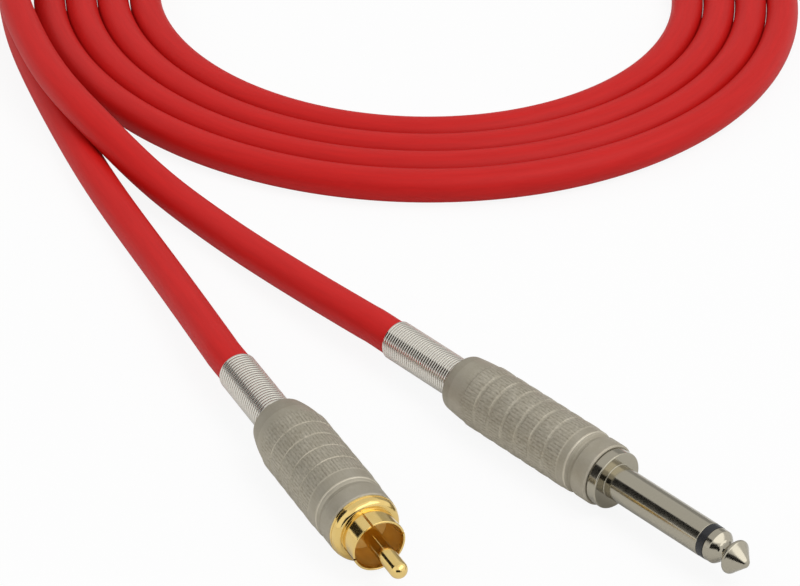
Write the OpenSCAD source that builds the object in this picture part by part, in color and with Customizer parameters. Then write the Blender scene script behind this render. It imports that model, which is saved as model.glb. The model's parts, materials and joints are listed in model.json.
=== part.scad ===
// Instrument cable: a coiled screened lead with a 6.35 mm phone plug at one
// end and a phono plug at the other. Millimetres, +Z up, floor at z = 0.
// Each plug is drawn along its own +Z, rear of the shell at 0, nose forward,
// local +X down, and is then laid on the floor.

/* [Cable] */
// Outer diameter of the jacket
cable_d = 6.8; // [6:0.1:7]
// Diameter of the insulated centre core
core_d = 2.8; // [2.4:0.1:3.2]
// Diameter of the bared centre conductor
conductor_d = 1; // [0.7:0.1:1.2]
// Diameter of the twisted screen pigtail
pigtail_d = 1.3; // [1.1:0.1:1.4]
// Bared core length ahead of the jacket end
bared_core = 7; // [5:0.5:8]

/* [Coil] */
// Turns wound flat on the floor
coil_turns = 4; // [3:1:6]
// Spacing of neighbouring turns
coil_pitch = 7.05; // [7.05:0.05:8]
// Radius of the innermost turn
coil_inner_r = 59.5; // [57.5:0.5:64]
// How far the coil is pulled out of round
coil_oval = 2.6; // [0:0.1:3]

/* [Relief springs] */
// Diameter of the spring wire
wire_d = 0.4; // [0.35:0.05:0.45]
// Rise of the spring in one turn
spring_pitch = 0.8; // [0.8:0.01:1]
// Clearance between jacket and spring
spring_clear = 0.04; // [0.03:0.01:0.08]
// Clearance of a spring in its shell
exit_clear = 0.13; // [0.1:0.01:0.2]
// Extra radius of the flared inner end
flare = 0.5; // [0.4:0.05:0.55]
// Visible spring length behind the phone plug
phone_spring_len = 18.5; // [14:0.5:20]
// Visible spring length behind the phono plug
phono_spring_len = 18.5; // [14:0.5:20]

/* [Plug construction] */
// Metal round the spring exit, on the radius
rear_wall = 1.15; // [1:0.05:1.4]
// Thickness of the lip that holds the spring
lip_t = 1.4; // [1:0.1:2]
// Wall of the insulating tubes
tube_wall = 0.3; // [0.2:0.05:0.4]
// Running clearance of threads and tubes, on the radius
run_clear = 0.04; // [0.02:0.01:0.08]
// Clearance of pieces pressed or slid together, on the radius
fit_clear = 0.02; // [0.01:0.005:0.04]
// Thread pitch of both shells
thread_pitch = 0.75; // [0.5:0.05:1]
// Depth of the thread
thread_depth = 0.3; // [0.2:0.05:0.4]
// Thickness of the ground clamps
clamp_t = 0.5; // [0.4:0.05:0.6]
// Width of the ground clamp strips
clamp_w = 2.8; // [2:0.1:3]
// Length of the crimped cable collar
collar_len = 4; // [3:0.5:5]
// Radius of a solder bead
bead_r = 1.15; // [1:0.05:1.2]
// Depth of the neck groove below the knurl
neck_in = 0.55; // [0.3:0.05:0.7]
// Depth of the smooth rim below the knurl
rim_in = 0.22; // [0.1:0.02:0.3]
// Length of the smooth rim
rim_len = 3.7; // [3:0.1:4]
// Depth of the ring grooves in the grip
groove_in = 0.22; // [0.1:0.02:0.3]

/* [Phone plug] */
// Length of the shell
phone_shell_len = 38; // [37:0.5:42]
// Diameter over the knurl
phone_knurl_d = 12.2; // [12:0.1:12.8]
// Length of the rear bell
phone_bell_len = 6; // [4:0.1:7]
// Length of the knurled grip
phone_grip_len = 25; // [22:0.1:25.5]
// Bands on the grip
phone_bands = 7; // [5:1:9]
// Diameter of the thread
phone_thread_d = 10; // [9.8:0.1:10.2]
// Engaged length of the thread
phone_thread_len = 6; // [5:0.5:6.5]
// Diameter of the nickel bushing
phone_bush_d = 10.8; // [10.4:0.1:11.4]
// Length of the nickel bushing
phone_bush_len = 2.1; // [1.5:0.1:3]
// Diameter of the sleeve contact
sleeve_d = 6.35; // [6.3:0.01:6.4]
// Length of the plug from bushing to tip
nose_len = 31.75; // [30:0.05:33]
// Length of the tip contact
tip_len = 7.9; // [7.5:0.1:8.2]
// Width of the insulating ring between sleeve and tip
ring_len = 1.5; // [1.2:0.1:2.2]
// Diameter of the tip rod
rod_d = 2.5; // [2.2:0.1:2.8]
// Wall of the insulator round the rod
insulator_wall = 0.95; // [0.7:0.05:1]
// Thickness of the rear insulating washer
rear_ins_t = 1.3; // [1:0.1:1.6]
// Thickness of the solder lug
lug_t = 0.45; // [0.35:0.05:0.5]
// Diameter of the waist of the tip
waist_d = 3.8; // [3.6:0.1:4]

/* [Phono plug] */
// Length of the shell
phono_shell_len = 34; // [33:0.5:38]
// Diameter over the knurl
phono_knurl_d = 13.4; // [13.2:0.1:14]
// Length of the rear bell
phono_bell_len = 6.6; // [5:0.1:8]
// Length of the knurled grip
phono_grip_len = 19.4; // [16:0.1:20.5]
// Bands on the grip
phono_bands = 5; // [4:1:8]
// Diameter of the thread
phono_thread_d = 11; // [10.8:0.1:11.2]
// Engaged length of the thread
phono_thread_len = 6; // [5:0.5:6.5]
// Diameter of the gold flange
flange_d = 12.8; // [12.2:0.1:13]
// Thickness of the gold flange
flange_t = 0.5; // [0.4:0.1:0.9]
// Length of the rounded shoulder ahead of the flange
shoulder_len = 1.6; // [1.2:0.1:1.8]
// Diameter at which the shoulder ends
shoulder_d = 10.6; // [10.2:0.1:11]
// Inner diameter of the ground ring
ground_bore = 8.3; // [8.1:0.05:8.5]
// Wall of the ground ring
ground_wall = 0.8; // [0.6:0.05:0.9]
// Reach of the ground ring beyond the shell
ground_reach = 6.3; // [6:0.1:7]
// Width of the four slots
slot_w = 0.4; // [0.3:0.05:0.8]
// Length of the four slots
slot_len = 3.9; // [3:0.1:4]
// Diameter of the centre pin
pin_d = 3.2; // [3.1:0.05:3.3]
// Reach of the centre pin beyond the ground ring
pin_reach = 8.8; // [7:0.1:9]
// Solder cup of the pin behind the body
pin_tail = 4; // [3.5:0.1:4.5]
// Depth of the solder cup
cup_depth = 4; // [3:0.1:4]
// Radius of the insulator inside the body
ins_r = 3.4; // [3.2:0.1:3.6]
// How far the insulator stands inside the ground ring
ins_stand = 0.6; // [0.4:0.1:2]

/* [Hidden] */
$fn = 96;

cable_r = cable_d / 2;
wire_r = wire_d / 2;
// A spring curl has 8 rings, so its path is drawn outside the true circle.
spring_r = (cable_r + spring_clear + wire_r) / cos(180 / 8);
exit_r = spring_r + wire_r + exit_clear;
flare_r = spring_r + flare;
bell_rear_r = exit_r + rear_wall;
bell_round = 0.8;                        // rounded rear edge of the bell
cavity_r = flare_r + wire_r + 0.15;      // bore of the phone shell behind its thread
phono_cavity_r = cavity_r + 0.35;        // the phono shell is a little wider
tube_start = lip_t + 1.5 * spring_pitch + wire_d + 0.35;
seam_in = 4;                             // cable stretch hidden inside the spring
lead_out = 4;                            // straight stretch behind the spring
seam_gap = 0.02;                         // end face of a tail to that of the coil
seam_lead = 1.2;                         // straight stretch on each side of a seam
jacket_end_z = 12;                       // where the jacket is stripped
core_end_z = jacket_end_z + bared_core;
collar_z = 6.5;                          // rear of the crimped collar
strip_x = cable_r + 0.25;                // inner face of a clamp strip
strip_gap = 0.1;                         // strip to the washer that it passes
boss_len = 2.5;                          // plain boss behind a thread
boss_in = 0.9;                           // radius of the boss below the thread
thread_relief = 0.7;                     // plain groove between thread and flange
groove_w = 0.25;                         // half width of a ring groove
edge = 0.3;                              // small bevels and rounded edges
through = 60;                            // cutters longer than any plug
tube_gap = 0.4;                          // tube end to the body ahead of it
lip_left = 0.35;                         // ring wall left outside its lead-in
lead_depth = 1.5;                        // depth of the lead-in chamfer
slot_turn = 16;                          // first slot, round from straight down
hex_turn = 30;                           // stands a six-sided tube on a flat
washer_t = 0.6;                          // flat washer part of a ground clamp
seat_gap = 0.05;                         // gap between shell face and flange

// Where each plug lies: rear of the shell on the floor plan, and its heading
phone_at = [-21.2, 21.3];
phono_at = [-32.4, -12.4];
phono_turn = -14.6;
phone_axis_z = phone_knurl_d / 2;
phono_axis_z = phono_knurl_d / 2;

// Coil: flat spiral from coil_start to the inner end, angles clockwise from
// the side where both tails leave
coil_at = [-145.9, 116.6];
coil_turn = 229;                         // plan angle of that side
coil_start = 56;                         // first angle where the strand is down
oval_turn = -22;                         // where the coil is drawn in most
loop_rings = 24;

// Free stretches: points chosen along the floor, from the plug to the coil
phone_route = [[-56.6, 20.3, 5.9], [-70.7, 20.7, 4.9], [-84.7, 22.1, 3.9],
    [-98.7, 23.3, 3.4], [-107.7, 23.7, 3.4], [-116.7, 23.4, 4.7], [-126.7, 23, 8],
    [-135.7, 23.4, 10], [-145.8, 25.1, 10.4], [-155.8, 27.8, 10.4],
    [-166.4, 31.6, 10.4], [-177, 36.2, 10.4]];
phono_route = [[-63.7, -3.5, 6.4], [-77.8, 1.5, 5.2], [-93.4, 6.8, 3.7],
    [-109, 11.5, 3.4], [-124.6, 16.4, 3.4], [-140.2, 22, 3.4],
    [-157.3, 28.6, 3.4], [-170.9, 34.2, 3.4], [-184.1, 40.2, 3.4],
    [-197.2, 48, 3.4]];
// Turn-back behind the coil: radius, angle clockwise and height
phone_over = [[86.5, -10, 10.4], [86.3, 0, 10.4], [86.7, 9, 10.4],
    [87.3, 18, 9.4], [87.9, 28, 7.4], [88.3, 38, 5.2]];
phono_over = [[88.9, 7, 3.4], [93.1, 18, 3.4], [98, 29, 3.4],
    [102.5, 39, 3.4], [105.5, 50, 3.6], [105, 59, 5.6], [99, 67, 9.2],
    [86.5, 72.6, 10.7], [72.5, 73.4, 10.7], [61.5, 68, 10.3],
    [56.1, 57, 8.4], [55.1, 43, 6.2], [55.9, 28, 4.2], [57.5, 15, 3.4]];

// ---- sweeping ----

function unit(v) = v / norm(v);

// One ring of n points round c, square to direction t, with side vector s
function ring(c, t, s, r, n, turn) = let (u = cross(t, s))
    [for (k = [0:n - 1]) c + r * (cos(turn + 360 * k / n) * s + sin(turn + 360 * k / n) * u)];

function along(p, i) = unit(p[min(i + 1, len(p) - 1)] - p[max(i - 1, 0)]);

// Rings of a tube that lies: one corner of each ring points straight down
function lying_rings(p, r, n, turn) = [for (i = [0:len(p) - 1])
    let (t = along(p, i)) each ring(p[i], t, unit(cross([0, 0, 1], t)), r, n, turn)];

// Rings of a helix round local Z: two flats of each ring face the next turns
function helix_rings(p, r) = [for (i = [0:len(p) - 1])
    let (t = along(p, i), o = unit([p[i][0], p[i][1], 0]))
    each ring(p[i], t, unit(o - (o * t) * t), r, 6, 0)];

module skin(points, n) {
    rings = len(points) / n;
    sides = [for (i = [0:rings - 2], k = [0:n - 1])
        let (a = i * n + k, b = i * n + (k + 1) % n)
        each [[a, a + n, b + n], [a, b + n, b]]];
    start = [for (k = [1:n - 2]) [0, k, k + 1]];
    last = (rings - 1) * n;
    end = [for (k = [1:n - 2]) [last, last + k + 1, last + k]];
    polyhedron(points, concat(sides, start, end), convexity = 10);
}

// Least distance from each ring to the rings one turn further on
function turn_gap(p, n, per_turn) = min([for (i = [0:len(p) / n - per_turn - 2],
    j = [per_turn - 1:per_turn + 1], a = [0:n - 1], b = [0:n - 1])
    norm(p[i * n + a] - p[(i + j) * n + b])]);

// ---- coil ----

function coil_r(a) = coil_inner_r + coil_pitch * (coil_turns - a / 360)
    - coil_oval * cos(2 * (a - oval_turn));
function coil_plan(r, a) = [coil_at[0] + r * cos(coil_turn - a),
    coil_at[1] + r * sin(coil_turn - a)];
function coil_point(a) = [each coil_plan(coil_r(a), a), cable_r];
coil_end = 360 * coil_turns;
coil_count = round((coil_end - coil_start) * loop_rings / 360);
coil_wound = [for (i = [0:coil_count])
    coil_point(coil_start + (coil_end - coil_start) * i / coil_count)];
// The ends run straight for a little, and a tail comes in on the same line,
// so that both end faces of a seam are parallel.
out_way = unit(coil_point(coil_start) - coil_point(coil_start + 1));
in_way = unit(coil_point(coil_end) - coil_point(coil_end - 1));
coil_out = coil_wound[0] + seam_lead * out_way;
coil_in = coil_wound[coil_count] + seam_lead * in_way;
function seam(end, way) = [end + (seam_lead + seam_gap) * way, end + seam_gap * way];
coil_path = [coil_out, each coil_wound, coil_in];
coil_points = lying_rings(coil_path, cable_r, 6, hex_turn);

// ---- springs ----

function spring_path(visible) =
    let (z0 = wire_r - visible, z1 = lip_t + 1.5 * spring_pitch + wire_r + 0.1,
        turns = (z1 - z0) / spring_pitch, n = floor(turns * 8))
    [for (i = [0:n]) let (t = i / 8, r = spring_r
        + flare * min(1, max(0, t - n / 8 + 1.75)))
        [r * cos(360 * t), r * sin(360 * t), z0 + spring_pitch * t]];

phone_spring_points = helix_rings(spring_path(phone_spring_len), wire_r);
phono_spring_points = helix_rings(spring_path(phono_spring_len), wire_r);

echo(str("least gap of the coil to itself ", turn_gap(coil_points, 6, loop_rings)));
echo(str("least gap of the phone spring to itself ", turn_gap(phone_spring_points, 6, 8)));
echo(str("least gap of the phono spring to itself ", turn_gap(phono_spring_points, 6, 8)));

// ---- placing ----

module at_phone() translate([each phone_at, phone_axis_z]) rotate([0, 90, 0]) children();
module at_phono() translate([each phono_at, phono_axis_z]) rotate([0, 0, phono_turn])
    rotate([0, 90, 0]) children();

function phone_point(z) = [phone_at[0] + z, phone_at[1], phone_axis_z];
function phono_point(z) = [phono_at[0] + z * cos(phono_turn),
    phono_at[1] + z * sin(phono_turn), phono_axis_z];

// ---- shared plug pieces ----

module ring_solid(r_out, r_in, z0, z1) translate([0, 0, z0]) difference() {
    cylinder(r = r_out, h = z1 - z0);
    translate([0, 0, -1]) cylinder(r = r_in, h = z1 - z0 + 2);
}

// Bell with a rounded rear edge that widens to end_r, slower and slower
function bell(len, end_r) = [
    for (i = [0:4]) let (a = 90 * i / 4)
        [bell_rear_r - bell_round * (1 - sin(a)), bell_round * (1 - cos(a))],
    for (i = [1:8]) let (t = i / 8)
        [end_r - (end_r - bell_rear_r) * pow(1 - t, 1.6), bell_round + (len - bell_round) * t]];

// Grip from z0 with ring grooves between its bands
function grip(r, z0, len, bands) = let (g = groove_w, w = len / bands)
    [[r, z0 + edge], for (i = [1:bands - 1]) each [[r, z0 + i * w - g],
        [r - groove_in, z0 + i * w - g / 3], [r - groove_in, z0 + i * w + g / 3],
        [r, z0 + i * w + g]], [r, z0 + len]];

// The neck falls gently from the grip and steps up to the rim
module shell(len, bell_len, grip_len, bands, knurl_r, bore_r, thread_r, thread_len) {
    neck = bell_len + grip_len;
    rim = len - rim_len;
    neck_r = knurl_r - neck_in;
    rim_r = knurl_r - rim_in;
    rotate_extrude() polygon([
        each bell(bell_len, rim_r),
        each grip(knurl_r, bell_len, grip_len, bands),
        [knurl_r - neck_in / 3, (neck + rim) / 2], [neck_r, rim - 3 * edge],
        [neck_r, rim - edge], [rim_r, rim + edge], [rim_r, len - edge],
        [rim_r - edge, len],
        [thread_r, len], [thread_r, len - thread_len - boss_len],
        [bore_r, len - thread_len - boss_len - edge],
        [bore_r, lip_t], [exit_r, lip_t], [exit_r, 0]]);
}

module insulating_tube(bore_r, z1) ring_solid(bore_r - run_clear,
    bore_r - run_clear - tube_wall, tube_start, z1);

// Thread drawn as rings, crests at r
function thread(r, z0, len) = let (n = floor(len / thread_pitch))
    [for (i = [0:n - 1]) each [[r - thread_depth, z0 + i * thread_pitch],
        [r, z0 + (i + 0.35) * thread_pitch], [r, z0 + (i + 0.65) * thread_pitch]],
        [r - thread_depth, z0 + n * thread_pitch]];

// Washer, strip and crimped collar in one piece
module ground_clamp(washer_r, washer_bore, rear) {
    color("gainsboro") difference() {
        union() {
            translate([0, 0, rear - washer_t]) cylinder(r = washer_r, h = washer_t);
            translate([strip_x, -clamp_w / 2, collar_z])
                cube([clamp_t, clamp_w, rear - collar_z]);
            difference() {
                translate([0, 0, collar_z]) cylinder(r = strip_x + clamp_t / 2, h = collar_len);
                translate([-2 * cable_r, -cable_r * 0.6, collar_z - 1])
                    cube([2 * cable_r, cable_r * 1.2, collar_len + 2]);
            }
        }
        translate([0, 0, collar_z - 1]) cylinder(r = cable_r + fit_clear, h = collar_len + 2);
        translate([0, 0, rear - washer_t - 1]) cylinder(r = washer_bore, h = washer_t + 2);
    }
}

module jacket_end(visible) color("firebrick") translate([0, 0, seam_in - visible])
    cylinder(r = cable_r, h = jacket_end_z - seam_in + visible);

pigtail_x = strip_x - pigtail_d / 2 - fit_clear;
module screen_pigtail() color("peru") translate([pigtail_x, 0, jacket_end_z])
    cylinder(d = pigtail_d, h = bared_core - 0.5);

module core() color("white") translate([0, 0, jacket_end_z])
    cylinder(d = core_d, h = bared_core);

module conductor(z1) color("peru") translate([0, 0, core_end_z])
    cylinder(d = conductor_d, h = z1 - core_end_z);

// Bead round the pigtail, flat on the strip
module pigtail_bead() difference() {
    intersection() {
        translate([pigtail_x, 0, core_end_z - bead_r - 1]) sphere(r = bead_r);
        translate([core_d / 2 + 0.1, -bead_r, jacket_end_z])
            cube([strip_x - core_d / 2 - 0.1, 2 * bead_r, bared_core]);
    }
    translate([pigtail_x, 0, 0]) cylinder(d = pigtail_d + 0.02, h = through);
}

// ---- phone plug ----

phone_face = phone_shell_len + seat_gap;
phone_front = phone_face + phone_bush_len;
phone_thread_r = phone_thread_d / 2;
phone_rear = phone_shell_len - phone_thread_len - boss_len;
insulator_r = rod_d / 2 + fit_clear + insulator_wall;
sleeve_end = phone_front + nose_len - tip_len - ring_len;
tip_base = sleeve_end + ring_len;
rear_ins_z = phone_rear - washer_t - rear_ins_t;
lug_z = rear_ins_z - lug_t;
lug_w = 2.4;                             // width of the tongue
lug_x = rod_d / 2 + 1;                   // where the tongue leaves the washer
lug_drop = 3.2;                          // where it has come in to the conductor
lug_fold = conductor_d / 2 + fit_clear;
lug_end = core_end_z + 1.2;
tip_bead_z = core_end_z + 3.4;
rod_head = 0.5;                          // riveted head of the rod
head_in = 0.6;                           // radius of that head beyond the rod
waist_ahead = 3.25;                      // waist, bulb and collar from the tip's base
bulb_ahead = 4.85;
tip_collar = 1.5;

module phone_shell() color("silver") at_phone() shell(phone_shell_len, phone_bell_len,
    phone_grip_len, phone_bands, phone_knurl_d / 2, cavity_r,
    phone_thread_r + run_clear, phone_thread_len);

module phone_relief_spring() color("gainsboro") at_phone() skin(phone_spring_points, 6);

module phone_insulating_tube() color("ivory") at_phone()
    insulating_tube(cavity_r, phone_rear - tube_gap);

module phone_body() color("lightgray") at_phone() rotate_extrude() polygon([
    [insulator_r + fit_clear, phone_rear], [phone_thread_r - boss_in, phone_rear],
    [phone_thread_r - boss_in, phone_shell_len - phone_thread_len],
    each thread(phone_thread_r, phone_shell_len - phone_thread_len,
        phone_thread_len - thread_relief),
    [phone_thread_r - thread_depth, phone_face], [phone_bush_d / 2 - edge, phone_face],
    [phone_bush_d / 2, phone_face + edge], [phone_bush_d / 2, phone_front - edge],
    [phone_bush_d / 2 - edge, phone_front], [sleeve_d / 2, phone_front],
    [sleeve_d / 2, sleeve_end - 0.1], [sleeve_d / 2 - 0.1, sleeve_end],
    [insulator_r + fit_clear, sleeve_end]]);

module phone_tip_insulator() color("#202430") at_phone() rotate_extrude() polygon([
    [rod_d / 2 + fit_clear, rear_ins_z + rear_ins_t], [insulator_r, rear_ins_z + rear_ins_t],
    [insulator_r, sleeve_end], [sleeve_d / 2 - 0.05, sleeve_end],
    [sleeve_d / 2 - 0.05, tip_base], [rod_d / 2 + fit_clear, tip_base]]);

module phone_rear_insulator() color("sienna") at_phone()
    ring_solid(strip_x - strip_gap, rod_d / 2 + fit_clear, rear_ins_z,
        rear_ins_z + rear_ins_t);

// Short cylinder, waist, bulb and rounded cone, with the rod behind
module phone_tip() color("lightgray") at_phone() {
    bulb_r = sleeve_d / 2 - 0.03;
    hollow_r = 1.1;                      // curve of the waist
    ridge_r = 0.5;                       // curve of the bulb
    nose_r = 1.1;
    waist_z = tip_base + waist_ahead;
    bulb_z = tip_base + bulb_ahead;
    end = tip_base + tip_len;
    rotate_extrude() polygon([[0, lug_z - rod_head], [rod_d / 2 + head_in, lug_z - rod_head],
        [rod_d / 2 + head_in, lug_z], [rod_d / 2, lug_z], [rod_d / 2, tip_base],
        [bulb_r - 0.15, tip_base], [bulb_r - 0.05, tip_base + 0.15],
        [bulb_r - 0.1, tip_base + tip_collar], [bulb_r - ridge_r, tip_base + tip_collar + 0.6],
        for (i = [0:6]) let (a = -50 + 100 * i / 6)
            [waist_d / 2 + hollow_r * (1 - cos(a)), waist_z + hollow_r * sin(a)],
        for (i = [0:4]) let (a = -40 + 80 * i / 4)
            [bulb_r - ridge_r * (1 - cos(a)), bulb_z + ridge_r * sin(a)],
        for (i = [0:6]) let (a = 35 + 55 * i / 6)
            [nose_r * cos(a), end - nose_r + nose_r * sin(a)]]);
}

// Washer on the rod with a tongue folded down to the conductor
module phone_tip_lug() color("gainsboro") at_phone() {
    ring_solid(lug_x + lug_t, rod_d / 2 + fit_clear, lug_z, rear_ins_z);
    translate([0, lug_w / 2, 0]) rotate([90, 0, 0]) linear_extrude(lug_w) polygon([
        [-lug_x, rear_ins_z], [-lug_x - lug_t, rear_ins_z],
        [-lug_x - lug_t, lug_z - 1.5], [-lug_fold - lug_t, lug_z - lug_drop - 0.2],
        [-lug_fold - lug_t, lug_end], [-lug_fold, lug_end],
        [-lug_fold, lug_z - lug_drop], [-lug_x, lug_z - 1.3]]);
}

module phone_ground_clamp() at_phone()
    ground_clamp(phone_thread_r - boss_in, insulator_r + fit_clear, phone_rear);

module phone_jacket_end() at_phone() jacket_end(phone_spring_len);
module phone_screen_pigtail() at_phone() screen_pigtail();
module phone_core() at_phone() core();
module phone_conductor() at_phone() conductor(lug_z - rod_head - 1.5);

module phone_solder_joints() color("darkgray") at_phone() {
    pigtail_bead();
    difference() {
        intersection() {
            translate([0, 0, tip_bead_z]) sphere(r = bead_r);
            translate([-lug_fold, -bead_r, tip_bead_z - bead_r]) cube(2 * bead_r);
        }
        cylinder(d = conductor_d + 0.02, h = through);
    }
}

// ---- phono plug ----

phono_face = phono_shell_len + seat_gap;
phono_thread_r = phono_thread_d / 2;
phono_rear = phono_shell_len - phono_thread_len - boss_len;
ground_r = ground_bore / 2 + ground_wall;
ring_end = phono_shell_len + ground_reach;
ins_face = phono_shell_len + ins_stand;
ins_rear = phono_rear - washer_t - tube_gap;
pin_rear = phono_rear - pin_tail;
shank_r = pin_d / 2 - 0.3;               // pin inside its insulator
cup_r = shank_r - 0.4;
pin_end = ring_end + pin_reach;

module phono_shell() color("silver") at_phono() shell(phono_shell_len, phono_bell_len,
    phono_grip_len, phono_bands, phono_knurl_d / 2, phono_cavity_r,
    phono_thread_r + run_clear, phono_thread_len);

module phono_relief_spring() color("gainsboro") at_phono() skin(phono_spring_points, 6);

module phono_insulating_tube() color("ivory") at_phono()
    insulating_tube(phono_cavity_r, phono_rear - tube_gap);

// Threaded body, flange, rounded shoulder and slotted ring
module phono_body() color("gold") at_phono() difference() {
    rotate_extrude() polygon([
        [ins_r, phono_rear], [phono_thread_r - boss_in, phono_rear],
        [phono_thread_r - boss_in, phono_shell_len - phono_thread_len],
        each thread(phono_thread_r, phono_shell_len - phono_thread_len,
            phono_thread_len - thread_relief),
        [phono_thread_r - thread_depth, phono_face], [flange_d / 2 - 0.1, phono_face],
        [flange_d / 2, phono_face + 0.1], [flange_d / 2, phono_face + flange_t - 0.1],
        for (i = [0:7]) let (a = 90 * i / 7, w = flange_d / 2 - 0.1 - shoulder_d / 2)
            [shoulder_d / 2 + w * cos(a), phono_face + flange_t + shoulder_len * sin(a)],
        [ground_r, phono_face + flange_t + shoulder_len],
        [ground_r, ring_end - 0.15], [ground_r - 0.15, ring_end],
        [ground_r - lip_left, ring_end], [ground_bore / 2, ring_end - lead_depth],
        [ground_bore / 2, phono_shell_len], [ins_r, phono_shell_len]]);
    for (a = [0, 90]) rotate([0, 0, slot_turn + a])
        translate([-flange_d, -slot_w / 2, ring_end - slot_len])
            cube([2 * flange_d, slot_w, slot_len + 1]);
}

module phono_insulator() color("wheat") at_phono() rotate_extrude() polygon([
    [shank_r + fit_clear, ins_rear], [ins_r - fit_clear, ins_rear],
    [ins_r - fit_clear, phono_shell_len], [ground_bore / 2 - fit_clear, phono_shell_len],
    [ground_bore / 2 - fit_clear, ins_face], [shank_r + fit_clear, ins_face]]);

// Round-ended pin with a solder cup behind
module phono_pin() color("gold") at_phono() difference() {
    union() {
        translate([0, 0, pin_rear]) cylinder(r = shank_r, h = ins_face - pin_rear);
        translate([0, 0, ins_face]) cylinder(d = pin_d, h = pin_end - pin_d / 2 - ins_face);
        translate([0, 0, pin_end - pin_d / 2]) sphere(d = pin_d);
    }
    translate([0, 0, pin_rear - 1]) cylinder(r = cup_r, h = cup_depth + 1);
}

module phono_ground_clamp() at_phono()
    ground_clamp(phono_thread_r - boss_in, ins_r + fit_clear, phono_rear);

module phono_jacket_end() at_phono() jacket_end(phono_spring_len);
module phono_screen_pigtail() at_phono() screen_pigtail();
module phono_core() at_phono() core();
module phono_conductor() at_phono() conductor(pin_rear + cup_depth - 1);

module phono_solder_joints() color("darkgray") at_phono() {
    pigtail_bead();
    ring_solid(cup_r - 0.01, conductor_d / 2 + 0.01, pin_rear + 0.4, pin_rear + cup_depth - 1);
}

// ---- cable ----

phone_tail_path = [phone_point(seam_in - phone_spring_len),
    phone_point(-phone_spring_len - lead_out), each phone_route,
    for (q = phone_over) [each coil_plan(q[0], q[1]), q[2]], each seam(coil_out, out_way)];
phono_tail_path = [phono_point(seam_in - phono_spring_len),
    phono_point(-phono_spring_len - lead_out), each phono_route,
    for (q = phono_over) [each coil_plan(q[0], q[1]), q[2]], each seam(coil_in, in_way)];

module cord_phone_tail() color("firebrick") skin(lying_rings(phone_tail_path, cable_r, 8, 0), 8);
module cord_coil() color("firebrick") skin(coil_points, 6);
module cord_phono_tail() color("firebrick") skin(lying_rings(phono_tail_path, cable_r, 8, 0), 8);

phone_shell();
phone_relief_spring();
phone_insulating_tube();
phone_body();
phone_tip();
phone_tip_insulator();
phone_rear_insulator();
phone_tip_lug();
phone_ground_clamp();
phone_jacket_end();
phone_screen_pigtail();
phone_core();
phone_conductor();
phone_solder_joints();
phono_shell();
phono_relief_spring();
phono_insulating_tube();
phono_body();
phono_pin();
phono_insulator();
phono_ground_clamp();
phono_jacket_end();
phono_screen_pigtail();
phono_core();
phono_conductor();
phono_solder_joints();
cord_phone_tail();
cord_coil();
cord_phono_tail();
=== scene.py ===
# %% [markdown]
# # A coiled instrument cable with two plugs
# The object is a red screened cable, 2.4 m long, with a 6.35 mm phone plug on one end and a
# gold-plated phono plug on the other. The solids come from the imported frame, in metres. Each
# visible solid is then replaced by a mesh with the detail that its machine left on it: rolled
# knurls, cut threads, wound wire and an extruded jacket.

# %% Load the frame
import json
import math

import bmesh
import bpy
import numpy as np
from mathutils import Matrix, Vector


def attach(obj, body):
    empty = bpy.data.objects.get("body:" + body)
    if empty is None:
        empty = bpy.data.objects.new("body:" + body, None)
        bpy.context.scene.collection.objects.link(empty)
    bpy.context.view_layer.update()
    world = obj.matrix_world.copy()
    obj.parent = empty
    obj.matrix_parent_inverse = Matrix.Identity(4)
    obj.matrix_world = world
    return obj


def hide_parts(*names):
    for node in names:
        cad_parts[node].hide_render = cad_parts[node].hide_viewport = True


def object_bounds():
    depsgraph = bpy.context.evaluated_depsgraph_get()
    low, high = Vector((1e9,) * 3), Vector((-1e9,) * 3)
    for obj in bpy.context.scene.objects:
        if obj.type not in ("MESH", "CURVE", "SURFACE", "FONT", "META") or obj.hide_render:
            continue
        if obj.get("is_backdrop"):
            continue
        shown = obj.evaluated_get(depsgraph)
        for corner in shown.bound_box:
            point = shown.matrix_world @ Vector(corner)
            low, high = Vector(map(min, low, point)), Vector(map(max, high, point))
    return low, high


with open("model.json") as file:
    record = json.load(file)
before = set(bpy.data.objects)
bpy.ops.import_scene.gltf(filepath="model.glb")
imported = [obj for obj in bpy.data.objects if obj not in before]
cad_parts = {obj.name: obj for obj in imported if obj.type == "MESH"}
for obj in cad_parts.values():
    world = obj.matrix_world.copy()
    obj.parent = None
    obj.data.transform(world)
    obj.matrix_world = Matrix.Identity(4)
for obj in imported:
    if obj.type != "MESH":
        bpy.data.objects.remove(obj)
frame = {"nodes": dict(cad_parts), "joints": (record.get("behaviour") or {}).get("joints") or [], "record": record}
cad_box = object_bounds()
MM = 0.001

# %% [markdown]
# ## Where each plug lies
# Both plugs are turned parts, so everything on them is easiest to draw in the plug's own
# coordinates: +Z runs along the axis towards the nose, with zero at the rear face of the shell.
# The joint that unscrews the shell already knows the axis, so the place is read from the frame.


# %% Plug coordinates
def plug_place(shell, joint_name):
    """The matrix from plug coordinates in millimetres to the frame in metres."""
    joint = next(j for j in frame["joints"] if j["name"] == joint_name)
    nose = -Vector(joint["axis"]).normalized()
    on_axis = Vector(joint["pos_m"])
    rear = min((v.co - on_axis).dot(nose) for v in frame["nodes"][shell].data.vertices)
    down = Vector((0, 0, -1))
    place = Matrix((down, nose.cross(down), nose)).transposed().to_4x4()
    place.translation = on_axis + nose * rear
    return place @ Matrix.Scale(MM, 4)


def measured(node, place):
    """First and last millimetre of a node along its plug, and its largest radius."""
    back = place.inverted()
    points = [back @ v.co for v in frame["nodes"][node].data.vertices]
    return (min(p.z for p in points), max(p.z for p in points),
            max(math.hypot(p.x, p.y) for p in points))


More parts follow.
